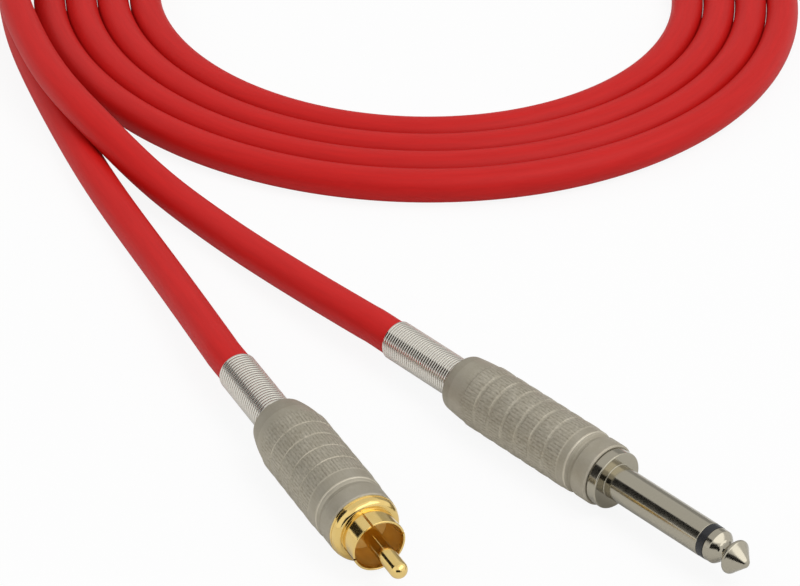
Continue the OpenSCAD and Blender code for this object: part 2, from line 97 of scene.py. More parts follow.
PHONE = plug_place("phone_shell", "phone_shell_turn")
PHONO = plug_place("phono_shell", "phono_shell_turn")
for node, place in (("phone_shell", PHONE), ("phone_body", PHONE), ("phone_tip", PHONE),
                    ("phone_tip_insulator", PHONE), ("phone_relief_spring", PHONE),
                    ("phono_shell", PHONO), ("phono_body", PHONO), ("phono_pin", PHONO),
                    ("phono_relief_spring", PHONO)):
    print(node, "from %.2f to %.2f mm, radius %.2f mm" % measured(node, place))

# %% [markdown]
# ## Camera
# A long lens keeps the nearer plug from looking swollen, where a short one would stretch it.
# The camera stands high on the side of both plugs, so that the coil runs out at the top of the
# render.

# %% Camera
LENS = 157.5                       # mm, on a 36 mm sensor
CAMERA_AT = (0.3657, -0.3301, 0.3659)
CAMERA_TURN = (56.91, 0, 49)       # degrees

camera = bpy.data.objects.new("camera", bpy.data.cameras.new("camera"))
bpy.context.scene.collection.objects.link(camera)
camera.data.lens = LENS
camera.data.sensor_width = 36
camera.data.clip_start, camera.data.clip_end = 0.01, 100
camera.location = CAMERA_AT
camera.rotation_euler = [math.radians(a) for a in CAMERA_TURN]
bpy.context.scene.camera = camera
print("camera stands %.2f m from the origin" % camera.location.length)

# %% [markdown]
# ## The cable's route
# The route is one smooth curve. It leaves the phone plug straight, drops to the floor, climbs
# over the other tail and winds four flat turns inwards. Then it climbs out over them and comes
# back round the outside to the phono plug. Free stretches are listed points, and the turns
# come from the spiral's formula.

# %% Route of the cable, in millimetres
CABLE_R = 3.4
SPRING = 18.5                      # visible length of both relief springs
SEAM_IN = 4                        # the cable starts this far inside its spring
LEAD_OUT = 6.5                     # straight run behind the spring, which slides back 6 mm
COIL_AT = (-145.9, 116.6)
COIL_TURN = 229                    # heading of the side where both tails leave, in degrees
COIL_TURNS = 4
COIL_PITCH = 6.82                  # the turns all but touch, so no floor shows between them
COIL_INNER_R = 59.96
COIL_OVAL = 2.6                    # how far the coil is out of round
OVAL_TURN = -22                    # degrees, where it is drawn in most
COIL_START = 56                    # degrees, where the outer turn is down on the floor
COIL_STEP = 5                      # degrees between points

phone_route = [(-56.6, 20.3, 5.9), (-70.7, 20.7, 4.9), (-84.7, 22.1, 3.9), (-98.7, 23.3, 3.4),
               (-107.7, 23.7, 3.4), (-116.7, 23.4, 4.7), (-126.7, 23, 8), (-135.7, 23.4, 10),
               (-145.8, 25.1, 10.4), (-155.8, 27.8, 10.4), (-166.4, 31.6, 10.4),
               (-177, 36.2, 10.4)]
phono_route = [(-63.7, -3.5, 6.4), (-77.8, 1.5, 5.2), (-93.4, 6.8, 3.7), (-109, 11.5, 3.4),
               (-124.6, 16.4, 3.4), (-140.2, 22, 3.4), (-157.3, 28.6, 3.4),
               (-170.9, 34.2, 3.4), (-184.1, 40.2, 3.4), (-197.2, 48, 3.4)]
# Radius, angle and height of the stretches that pass round the coil
phone_over = [(86.5, -10, 10.4), (86.3, 0, 10.4), (86.7, 9, 10.4), (87.3, 18, 9.4),
              (87.9, 28, 7.4), (88.3, 38, 5.2)]
phono_over = [(88.9, 7, 3.4), (93.1, 18, 3.4), (98, 29, 3.4), (102.5, 39, 3.4),
              (105.5, 50, 3.6), (105, 59, 5.6), (99, 67, 9.2), (86.5, 72.6, 10.7),
              (72.5, 73.4, 10.7), (61.5, 68, 10.3), (56.1, 57, 8.4), (55.1, 43, 6.2),
              (55.9, 28, 4.2), (57.5, 15, 3.4)]


def round_coil(radius, angle, height):
    turn = math.radians(COIL_TURN - angle)
    return (COIL_AT[0] + radius * math.cos(turn), COIL_AT[1] + radius * math.sin(turn), height)


def coil_radius(angle):
    return (COIL_INNER_R + COIL_PITCH * (COIL_TURNS - angle / 360)
            - COIL_OVAL * math.cos(math.radians(2 * (angle - OVAL_TURN))))


def behind(place, distance):
    """A point on a plug's axis, behind its shell, in millimetres of the frame."""
    return tuple((place @ Vector((0, 0, -distance))) / MM)


def straight_exit(place):
    """The straight stretch from inside the spring to well behind it."""
    return [behind(place, d) for d in (SPRING - SEAM_IN, SPRING + LEAD_OUT / 3,
                                       SPRING + LEAD_OUT)]


turns = [round_coil(coil_radius(a), a, CABLE_R)
         for a in range(COIL_START, 360 * COIL_TURNS + 1, COIL_STEP)]
corners = (straight_exit(PHONE) + phone_route + [round_coil(*q) for q in phone_over] + turns
           + [round_coil(*q) for q in reversed(phono_over)] + phono_route[::-1]
           + straight_exit(PHONO)[::-1])
print("corners of the route:", len(corners))


# %% Smooth curve through the route
ROUTE_STEP = 2.0                   # mm between rings of the jacket
CURVE_STEPS = 16                   # points that the curve gets between two corners


def smooth_through(points, step):
    """A centripetal Catmull-Rom curve through the points, resampled at even steps."""
    p = np.array(points, float)
    p = np.vstack([2 * p[0] - p[1], p, 2 * p[-1] - p[-2]])
    fine = []
    for a, b, c, d in zip(p[:-3], p[1:-2], p[2:-1], p[3:]):
        t0 = 0
        t1 = t0 + np.linalg.norm(b - a) ** 0.5
        t2 = t1 + np.linalg.norm(c - b) ** 0.5
        t3 = t2 + np.linalg.norm(d - c) ** 0.5
        t = np.linspace(t1, t2, CURVE_STEPS, endpoint=False)[:, None]
        ab = (t1 - t) / t1 * a + t / t1 * b
        bc = (t2 - t) / (t2 - t1) * b + (t - t1) / (t2 - t1) * c
        cd = (t3 - t) / (t3 - t2) * c + (t - t2) / (t3 - t2) * d
        abc = (t2 - t) / t2 * ab + t / t2 * bc
        bcd = (t3 - t) / (t3 - t1) * bc + (t - t1) / (t3 - t1) * cd
        fine.append((t2 - t) / (t2 - t1) * abc + (t - t1) / (t2 - t1) * bcd)
    fine = np.vstack(fine + [p[-2]])
    run = np.concatenate([[0], np.cumsum(np.linalg.norm(np.diff(fine, axis=0), axis=1))])
    even = np.linspace(0, run[-1], int(run[-1] / step) + 1)
    return np.stack([np.interp(even, run, fine[:, k]) for k in range(3)], axis=1)


def relaxed(line, rounds, held):
    """Evens the bends out, as stiff rubber does, and keeps the held ends as they are."""
    line = line.copy()
    for _ in range(rounds):
        middle = (line[:-2] + line[2:]) / 2
        line[1 + held:-1 - held] += 0.5 * (middle - line[1:-1])[held:len(middle) - held]
    return line


RELAX_ROUNDS = 30
HELD_RINGS = 6                     # rings at each end that stay on the plug's axis
TAIL_RINGS, TAIL_ROUNDS = 34, 260  # behind each spring the cable runs almost straight
route = smooth_through(corners, ROUTE_STEP)
for tail in (slice(None, TAIL_RINGS), slice(-TAIL_RINGS, None)):
    route[tail] = relaxed(route[tail], TAIL_ROUNDS, HELD_RINGS)
route = relaxed(route, RELAX_ROUNDS, HELD_RINGS)
route[:, 2] = np.maximum(route[:, 2], CABLE_R)

# %% [markdown]
# ## Making meshes
# Almost every piece is either turned on a lathe or swept along a line, so two helpers make them
# all. Both store where each point lies on the piece, in millimetres, in the attribute
# `local_mm`: x and y across, z along. Materials use it to run tool marks round the work. The
# wear attribute, which also carries painted light, runs from 0 in the hollows to 1 where hands
# and cloth rub the plating. Its low end is painted shade in the hollows of the knurl, and its
# high end also paints highlights on the neck.


# %% A piece from corners and faces
SHARP = math.radians(38)           # edges above this angle stay crisp


def mark(mesh, name, values):
    """Stores one number for each point of a mesh, for materials to read."""
    mesh.attributes.new(name, "FLOAT", "POINT").data.foreach_set(
        "value", values.astype(np.float32).ravel())


def local_of(piece):
    """Where the points of a finished piece lie on it, in millimetres."""
    local = np.empty(3 * len(piece.data.vertices), np.float32)
    piece.data.attributes["local_mm"].data.foreach_get("vector", local)
    return local.reshape(-1, 3)


def new_piece(name, points, faces, local, wear_and_painted_light=None):
    """A smooth object with crisp edges, from points in metres and their place on the piece."""
    mesh = bpy.data.meshes.new(name)
    mesh.from_pydata(points.tolist(), [], faces)
    mesh.attributes.new("local_mm", "FLOAT_VECTOR", "POINT").data.foreach_set(
        "vector", local.astype(np.float32).ravel())
    if wear_and_painted_light is not None:
        mark(mesh, "wear_and_painted_light", wear_and_painted_light)
    work = bmesh.new()
    work.from_mesh(mesh)
    bmesh.ops.remove_doubles(work, verts=work.verts, dist=1e-8)
    bmesh.ops.delete(work, geom=[e for e in work.edges if not e.link_faces], context="EDGES")
    bmesh.ops.recalc_face_normals(work, faces=work.faces)
    work.to_mesh(mesh)
    work.free()
    mesh.shade_smooth()
    mesh.set_sharp_from_angle(angle=SHARP)
    piece = bpy.data.objects.new(name, mesh)
    bpy.context.scene.collection.objects.link(piece)
    return piece


# %% Turned pieces
FILLET_STEPS = 4
FLAT_EDGE = 0.04                   # mm; a row this far past a fillet keeps its flat side flat


def rounded(outline):
    """Swaps each corner (z, r, fillet) of a closed outline for an arc of that radius."""
    made = []
    for i, (z, r, *fillet) in enumerate(outline):
        here = Vector((z, r))
        before, after = (Vector(outline[k % len(outline)][:2]) - here for k in (i - 1, i + 1))
        if not fillet or min(before.length, after.length) < 1e-6:
            made.append((z, r))
            continue
        a, b = before.normalized(), after.normalized()
        half = a.angle(b) / 2
        room = 0.45 * min(before.length, after.length)      # two fillets never meet
        reach = min(fillet[0] / math.tan(half), room)
        centre = here + (a + b).normalized() * (reach / math.cos(half))
        radius = reach * math.tan(half)
        u, v = here + a * reach - centre, here + b * reach - centre
        spare = min(FLAT_EDGE, room - reach)
        made.append(tuple(here + a * (reach + spare)))
        made += [tuple(centre + u.slerp(v, k / FILLET_STEPS) * radius)
                 for k in range(FILLET_STEPS + 1)]
        made.append(tuple(here + b * (reach + spare)))
    return made


def turned(name, outline, place, count=160, shape=None):
    """Spins a closed outline of (z, r) round the plug's axis. shape(z, r, angle) gives the
    radius where the surface isn't round. It also gives the wear on it, with painted shade and painted highlights,
    from 0 in the hollows to 1."""
    z, r = (np.array(outline)[:, k][:, None] for k in (0, 1))
    angle = np.linspace(0, 2 * np.pi, count, endpoint=False)[None, :]
    radius, wear_and_painted_light = shape(z, r, angle) if shape else (r + 0 * angle, 0.5 + 0 * r * angle)
    local = np.stack([radius * np.cos(angle), radius * np.sin(angle), z + 0 * angle], axis=2)
    local = local.reshape(-1, 3)
    rows = len(outline)
    faces = [(i * count + j, i * count + (j + 1) % count,
              (i + 1) % rows * count + (j + 1) % count, (i + 1) % rows * count + j)
             for i in range(rows) for j in range(count)]
    return new_piece(name, to_frame(place, local), faces, local, wear_and_painted_light)


def to_frame(place, local):
    m = np.array(place)
    return local @ m[:3, :3].T + m[:3, 3]


# %% Swept pieces
def swept(name, line, side, up, section):
    """Sweeps a section of (side, up) offsets along a line, with flat ends, in metres."""
    count = len(section)
    ring = np.array(section)
    points = (line[:, None] + ring[None, :, :1] * side[:, None]
              + ring[None, :, 1:] * up[:, None]).reshape(-1, 3)
    run = np.concatenate([[0], np.cumsum(np.linalg.norm(np.diff(line, axis=0), axis=1))])
    local = np.concatenate([np.tile(ring, (len(line), 1)),
                            np.repeat(run, count)[:, None]], axis=1) / MM
    faces = [(i * count + j, i * count + (j + 1) % count,
              (i + 1) * count + (j + 1) % count, (i + 1) * count + j)
             for i in range(len(line) - 1) for j in range(count)]
    faces += [tuple(range(count))[::-1],
              tuple((len(line) - 1) * count + j for j in range(count))]
    return new_piece(name, points, faces, local)


def oval(across, along, count, squareness=2):
    """Points of an oval section with these half widths. Above 2 its sides get flatter."""
    def bent(value):
        return math.copysign(abs(value) ** (2 / squareness), value)
    turn = 2 * math.pi / count
    return [(across * bent(math.cos(turn * k)), along * bent(math.sin(turn * k)))
            for k in range(count)]


# %% [markdown]
# ## Materials
# Each material starts from what the real one is. Colours are written as sRGB hex values, and
# one function turns them into the linear values that the shader works in.


# %% Colour and node helpers
def linear(hex_colour):
    """An sRGB hex colour as linear red, green, blue and alpha."""
    parts = [int(hex_colour[i:i + 2], 16) / 255 for i in (0, 2, 4)]
    return [c / 12.92 if c <= 0.04045 else ((c + 0.055) / 1.055) ** 2.4 for c in parts] + [1]


def add(tree, kind, settings=None, links=None):
    """Adds a node. Settings fill sockets, by name or number, or set properties by name."""
    node = tree.nodes.new("ShaderNode" + kind)
    for key, value in (settings or {}).items():
        if isinstance(key, int) or key in node.inputs:
            node.inputs[key].default_value = value
        else:
            setattr(node, key, value)
    for key, source in (links or {}).items():
        tree.links.new(source, node.inputs[key])
    return node.outputs


def new_material(name, **sockets):
    """A material whose Principled shader has these sockets set; spaces are written as _."""
    material = bpy.data.materials.new(name)
    material.use_nodes = True
    shader = material.node_tree.nodes["Principled BSDF"]
    for key, value in sockets.items():
        shader.inputs[key.replace("_", " ")].default_value = value
    return material, material.node_tree, shader.inputs


def between(tree, amount, low, high):
    """A value that runs from low to high as amount runs from 0 to 1."""
    return add(tree, "MapRange", {"To Min": low, "To Max": high}, {"Value": amount})["Result"]


def blend_colours(tree, amount, low, high):
    mixed = add(tree, "Mix", {"data_type": "RGBA", 6: linear(low), 7: linear(high)},
                {0: amount})
    return mixed[2]


# %% Satin nickel, on both shells
# Brass, knurled, blasted with fine beads and nickel plated. The blasting leaves a warm grey
# that spreads highlights wide, and handling polishes the crests of the knurl. The colour also
# holds painted shade, darker in the hollows of the knurl, and a painted highlight on the neck.
def satin_nickel():
    grain = 0.22                   # mm; the real pits are near 0.05, too fine to show
    patch = 20 / 7                 # mm across the patches that the blasting leaves
    dash = 0.3                     # mm across the short scuffs that run along the knurl
    material, tree, sockets = new_material("satin_nickel", Metallic=1.0)
    local = add(tree, "Attribute", {"attribute_name": "local_mm"})["Vector"]
    wear_and_painted_light = add(tree, "Attribute", {"attribute_name": "wear_and_painted_light"})["Fac"]
    pits = add(tree, "TexNoise", {"Scale": 1 / grain, "Detail": 3.0, "Roughness": 0.6},
               {"Vector": local})["Fac"]
    patches = add(tree, "TexNoise", {"Scale": 1 / patch, "Detail": 2.0}, {"Vector": local})["Fac"]
    drawn = add(tree, "Mapping", {"Scale": (1, 1, 0.45)}, {"Vector": local})["Vector"]
    dashes = add(tree, "TexNoise", {"Scale": 1 / dash, "Detail": 2.0}, {"Vector": drawn})["Fac"]
    knurl = add(tree, "Attribute", {"attribute_name": "knurl"})["Fac"]
    scuffs = add(tree, "Math", {"operation": "MULTIPLY"},
                 {0: between(tree, dashes, -0.4, 0.4), 1: between(tree, knurl, 0.15, 1)})["Value"]
    worn_and_painted_light = add(tree, "Math", {"operation": "ADD"}, {0: wear_and_painted_light, 1: scuffs})["Value"]
    # Painted shade and highlight: the colour runs from dark grey, painted into the hollows of the knurl, to pale
    # at the rubbed lips and the painted bright neck line
    base = blend_colours(tree, worn_and_painted_light, "8C8679", "DAD4C5")
    tint = blend_colours(tree, patches, "E9E6DF", "FFFFFF")
    colour = add(tree, "Mix", {"data_type": "RGBA", "blend_type": "MULTIPLY", 0: 1.0},
                 {6: base, 7: tint})[2]
    tree.links.new(colour, sockets["Base Color"])
    rough = between(tree, worn_and_painted_light, 0.78, 0.54)
    tree.links.new(add(tree, "Math", {"operation": "MULTIPLY"},
                       {0: rough, 1: between(tree, pits, 0.9, 1.1)})["Value"],
                   sockets["Roughness"])
    bump = add(tree, "Bump", {"Strength": 0.35, "Distance": 0.00003}, {"Height": pits})
    tree.links.new(bump["Normal"], sockets["Normal"])
    return material


# %% Polished nickel, on the contacts of the phone plug
# Turned brass, polished on felt and plated. It mirrors the studio, and what is left of the
# turning lines stretches each highlight a little round the work.
def polished_nickel():
    line_gap = 0.11                # mm between turning lines
    smear = 2                      # mm across the smears of polish
    material, tree, sockets = new_material("polished_nickel", Metallic=1.0)
    sockets["Base Color"].default_value = linear("AAA494")
    local = add(tree, "Attribute", {"attribute_name": "local_mm"})["Vector"]
    along = add(tree, "SeparateXYZ", links={"Vector": local})["Z"]
    lines = add(tree, "TexNoise", {"noise_dimensions": "1D", "Scale": 1 / line_gap,
                                   "Detail": 2.0}, {"W": along})["Fac"]
    smears = add(tree, "TexNoise", {"Scale": 1 / smear, "Detail": 4.0}, {"Vector": local})["Fac"]
    tree.links.new(between(tree, smears, 0.09, 0.2), sockets["Roughness"])
    bump = add(tree, "Bump", {"Strength": 0.12, "Distance": 0.00001}, {"Height": lines})
    tree.links.new(bump["Normal"], sockets["Normal"])
    return material


# %% Gold plating, on the contacts of the phono plug
# A flash of gold over bright nickel. It takes the shape of the turned brass below, so the
# lines run round it too, and light that bounces inside the ring turns deep orange. The bath
# barely reaches inside the ring, so that wall, marked by the "bore" attribute, is duller.
BORE_DULLER = 0.36                 # added to the roughness inside the ring


def gold_plating():
    line_gap = 0.14                # mm between turning lines
    smear = 5 / 3                  # mm across the smears of polish
    material, tree, sockets = new_material("gold_plating", Metallic=1.0)
    local = add(tree, "Attribute", {"attribute_name": "local_mm"})["Vector"]
    along = add(tree, "SeparateXYZ", links={"Vector": local})["Z"]
    lines = add(tree, "TexNoise", {"noise_dimensions": "1D", "Scale": 1 / line_gap,
                                   "Detail": 2.0}, {"W": along})["Fac"]
    smears = add(tree, "TexNoise", {"Scale": 1 / smear, "Detail": 3.0}, {"Vector": local})["Fac"]
    bore = add(tree, "Attribute", {"attribute_name": "bore"})["Fac"]
    tree.links.new(blend_colours(tree, smears, "E4C274", "EED28C"), sockets["Base Color"])
    tree.links.new(add(tree, "Math", {"operation": "MULTIPLY_ADD", 1: BORE_DULLER},
                       {0: bore, 2: between(tree, smears, 0.09, 0.18)})["Value"],
                   sockets["Roughness"])
    bump = add(tree, "Bump", {"Strength": 0.15, "Distance": 0.00001}, {"Height": lines})
    tree.links.new(bump["Normal"], sockets["Normal"])
    return material


# %% Bright spring wire
# Hard-drawn steel wire, nickel plated. Drawing leaves faint lines along the wire.
def spring_wire():
    draw_gap = 0.06                # mm between drawing lines, which run 50 times as long
    material, tree, sockets = new_material("spring_wire", Metallic=1.0)
    sockets["Base Color"].default_value = linear("DAD6CC")
    local = add(tree, "Attribute", {"attribute_name": "local_mm"})["Vector"]
    stretched = add(tree, "Mapping", {"Scale": (1, 1, 0.02)}, {"Vector": local})["Vector"]
    lines = add(tree, "TexNoise", {"Scale": 1 / draw_gap, "Detail": 1.0},
                {"Vector": stretched})["Fac"]
    tree.links.new(between(tree, lines, 0.08, 0.14), sockets["Roughness"])
    bump = add(tree, "Bump", {"Strength": 0.03, "Distance": 0.00001}, {"Height": lines})
    tree.links.new(bump["Normal"], sockets["Normal"])
    return material


# %% Soft PVC, the jacket
# Flexible PVC, extruded over the screen. It is matt because the plasticiser and the die leave
# a skin of tiny waves, drawn out along the cable.
def soft_pvc():
    die_gap = 5 / 7                # mm between die lines; real ones are finer
    wave = 0.3                     # mm across the waves of the skin
    material, tree, sockets = new_material("soft_pvc", IOR=1.53, Specular_IOR_Level=0.22)
    local = add(tree, "Attribute", {"attribute_name": "local_mm"})["Vector"]
    drawn = add(tree, "Mapping", {"Scale": (1, 1, 0.08)}, {"Vector": local})["Vector"]
    die_lines = add(tree, "TexNoise", {"Scale": 1 / die_gap, "Detail": 3.0},
                    {"Vector": drawn})["Fac"]
    skin = add(tree, "TexNoise", {"Scale": 1 / wave, "Detail": 3.0}, {"Vector": local})["Fac"]
    tree.links.new(blend_colours(tree, die_lines, "B20A07", "C8120E"), sockets["Base Color"])
    tree.links.new(between(tree, skin, 0.44, 0.6), sockets["Roughness"])
    bump = add(tree, "Bump", {"Strength": 0.25, "Distance": 0.00004}, {"Height": skin})
    tree.links.new(bump["Normal"], sockets["Normal"])
    return material


# %% Plastics and inner metals
def speckled(name, dark, light, grain, low, high, **sockets):
    """A material whose colour and roughness vary with one noise, of a grain in millimetres."""
    material, tree, inputs = new_material(name, **sockets)
    place = add(tree, "NewGeometry")["Position"]
    noise = add(tree, "TexNoise", {"Scale": 1 / grain / MM, "Detail": 3.0},
                {"Vector": place})["Fac"]
    tree.links.new(blend_colours(tree, noise, dark, light), inputs["Base Color"])
    tree.links.new(between(tree, noise, low, high), inputs["Roughness"])
    bump = add(tree, "Bump", {"Strength": 0.3, "Distance": 0.00002}, {"Height": noise})
    tree.links.new(bump["Normal"], inputs["Normal"])
    return material


finishes = {
    "satin_nickel": satin_nickel(),
    "polished_nickel": polished_nickel(),
    "gold_plate": gold_plating(),
    "spring_nickel": spring_wire(),
    "jacket_pvc": soft_pvc(),
    # Turned acetal rod, dyed black with a blue cast and cut to a dull sheen
    "black_acetal": speckled("black_acetal", "111215", "1E2024", 1 / 3, 0.3, 0.42, IOR=1.48),
    # Paper and resin pressed into sheet and punched
    "phenolic": speckled("phenolic_paper", "5A3820", "7E5434", 1 / 4, 0.5, 0.7, IOR=1.6),
    # Brass strip, dipped in tin
    "tinned_brass": speckled("tinned_brass", "A9A79F", "CFCDC4", 5 / 6, 0.25, 0.4,
                             Metallic=1.0),
    # Thin sleeve of clear polyester, cloudy with age
    "clear_tube": speckled("polyester_tube", "D8D4C4", "ECE9DC", 5 / 4, 0.25, 0.4, IOR=1.6,
                           Alpha=0.6),
    # Annealed copper, bright where the jacket was stripped minutes ago
    "bare_copper": speckled("bare_copper", "B06A45", "D39068", 1 / 3, 0.25, 0.4, Metallic=1.0),
    # Natural polyethylene, waxy and slightly clear
    "core_pe": speckled("polyethylene", "E2DFD6", "F2F0E9", 1, 0.35, 0.5, IOR=1.51,
                        Subsurface_Weight=0.2, Subsurface_Scale=0.001),
    # Tin and lead, frozen with a dull skin
    "solder": speckled("frozen_solder", "8E8F90", "B9BABB", 1 / 2, 0.3, 0.5, Metallic=1.0),
    # Moulded insert that centres the pin. Its colour is painted pale and bright, painted light standing for the
    # light that reaches it deep inside the ring.
    "phono_plastic": speckled("amber_insert_painted_bright", "FFCC70", "FFE09A", 1 / 2, 0.3, 0.42, IOR=1.55),
}
print("finishes:", ", ".join(sorted(finishes)))

# %% Finish of each node that stays
slots = {part["node"]: part["material_slot"] for part in frame["record"]["subparts"]}
for node, solid in frame["nodes"].items():
    solid.data.materials.clear()
    solid.data.materials.append(finishes[slots[node]])
print("finished nodes:", len(slots))


def dress(piece, body, *nodes):
    """Gives a new piece its finish and its body, and hides the nodes that it stands for."""
    slot = slots[nodes[0]]
    piece.data.materials.append(finishes[slot])
    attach(piece, body)
    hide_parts(*nodes)
    print(piece.name, "has", len(piece.data.polygons), "faces")
    return piece


# %% [markdown]
# ## The jacket
# The jacket is one extruded tube, so its mesh is a ring of points swept along the whole route.
# A curve with a bevel would do, but a mesh keeps the place along the cable for the material.

# %% Jacket
JACKET_SIDES = 40


def flat_frames(line):
    """Side and up directions along a line that lies more or less flat."""
    along = np.gradient(line, axis=0)
    along /= np.linalg.norm(along, axis=1)[:, None]
    side = np.cross([0, 0, 1], along)
    side /= np.linalg.norm(side, axis=1)[:, None]
    return side, np.cross(along, side)


side, up = flat_frames(route)
jacket = swept("red_jacket", route * MM, side, up, oval(CABLE_R * MM, CABLE_R * MM, JACKET_SIDES))
dress(jacket, "root", "cord_phone_tail", "cord_coil", "cord_phono_tail")

# %% [markdown]
# ## Relief springs
# Close-wound wire that stops the cable from kinking where it enters the shell. A screw modifier
# would wind it too, but a swept helix can flare: the wire was rolled a little flat, so its
# section is an oval, and the inner turn is opened out to hook behind the lip of the shell.

# %% Relief springs
WIRE_STEPS = 48                    # rings in a turn
WIRE_SIDES = 16
WIRE_HALF = 0.16                   # half thickness of the wire, across the spring
WIRE_SQUARENESS = 3.4              # 2 is a true oval
LIP = 1.4                          # thickness of the lip that the spring hooks behind
FLARE = 0.5                        # how far the inner turn is opened out
FLARE_TURNS = 1.75                 # from the start of the flare to the end of the wire
SPRING_CLEAR = 0.07                # mm between the jacket and the wire


def relief_spring(name, place, visible, pitch, wire_width):
    half = wire_width / 2
    mid_r = CABLE_R + SPRING_CLEAR + WIRE_HALF
    first, last = half - visible, LIP + 1.5 * pitch
    count = int((last - first) / pitch * WIRE_STEPS)
    turn = np.arange(count + 1) / WIRE_STEPS
    opened = np.clip(turn - turn[-1] + FLARE_TURNS, 0, 1)
    r = mid_r + FLARE * opened
    angle = 2 * np.pi * turn
    line = np.stack([r * np.cos(angle), r * np.sin(angle), first + pitch * turn], axis=1)
    out = np.stack([np.cos(angle), np.sin(angle), 0 * angle], axis=1)
    axis = np.tile([0.0, 0, 1], (len(turn), 1))
    m = np.array(place)[:3, :3] / MM
    return swept(name, to_frame(place, line), out @ m.T, axis @ m.T,
                 oval(WIRE_HALF * MM, half * MM, WIRE_SIDES, WIRE_SQUARENESS))


dress(relief_spring("phone_spring_wire", PHONE, SPRING, pitch=0.57, wire_width=0.49),
      "phone_relief", "phone_relief_spring")
dress(relief_spring("phono_spring_wire", PHONO, SPRING, pitch=0.7, wire_width=0.54),
      "phono_relief", "phono_relief_spring")

# %% [markdown]
# ## Shells
# A shell is turned from brass bar, and a knurling wheel is pressed into it while it spins. The
# wheel leaves fine straight ridges, and a forming tool then cuts ring grooves across them. A
# bump map could draw both, but it would leave the edge of the shell straight. So the outline
# gives the rings, and the ridges lower the radius between their crests.

# %% Outline of a shell
BELL_STEPS = 24
BELL_CURVE = 1.6                   # 1 is a straight cone
BELL_REAR_R = 5.42
REAR_ROUND = 0.8                   # mm, rounding of the rear edge
LEDGE = 0.26                       # mm along the shell that a step takes
GROOVE_DEPTH = 0.12
CROWN = 0.05                       # how far a band swells between its grooves
EDGE = 0.3                         # small bevels
RIM_LENGTH = 3.6
RIM_IN = 0.22                      # how far the rim lies below the knurl
EXIT_R = 4.05                      # hole that the spring leaves by


def bell_outline(length, rear_r, end_r):
    """A blunt rounded rear edge, and a flank that widens slower and slower."""
    flank = math.atan(BELL_CURVE * (end_r - rear_r) / (length - REAR_ROUND))
    made = [(REAR_ROUND * (1 - math.cos(a)), rear_r - REAR_ROUND * (1 - math.sin(a)))
            for a in np.linspace(0, math.pi / 2 - flank, 9)]
    start, start_r = made[-1]
    for t in np.linspace(0, 1, BELL_STEPS)[1:]:
        made.append((start + (length - start) * t,
                     end_r - (end_r - start_r) * (1 - t) ** BELL_CURVE))
    return made


def grip_outline(r, start, length, bands, groove):
    """Bands of knurl with ring grooves of this half width between them."""
    width = length / bands
    made = [(start + EDGE, r, 0.1)]
    for i in range(1, bands):
        z = start + i * width
        edge = r - CROWN
        made += [(z - width * 0.6, r), (z - width * 0.4, r), (z - groove, edge, 0.1),
                 (z - groove / 2, edge - GROOVE_DEPTH), (z + groove / 2, edge - GROOVE_DEPTH),
                 (z + groove, edge, 0.1)]
    return made + [(start + length - width / 2, r)]


def step_down(z, r, drop):
    """A small ledge that faces the nose, with the polished lip that catches light."""
    return [(z - LEDGE, r, 0.05), (z, r - drop, 0.03), (z + LEDGE, r - drop)]


# %% Shells
RIDGE_STEPS = 8                    # points round each ridge
RIDGE_DEPTH = 0.045                # mm from crest to hollow


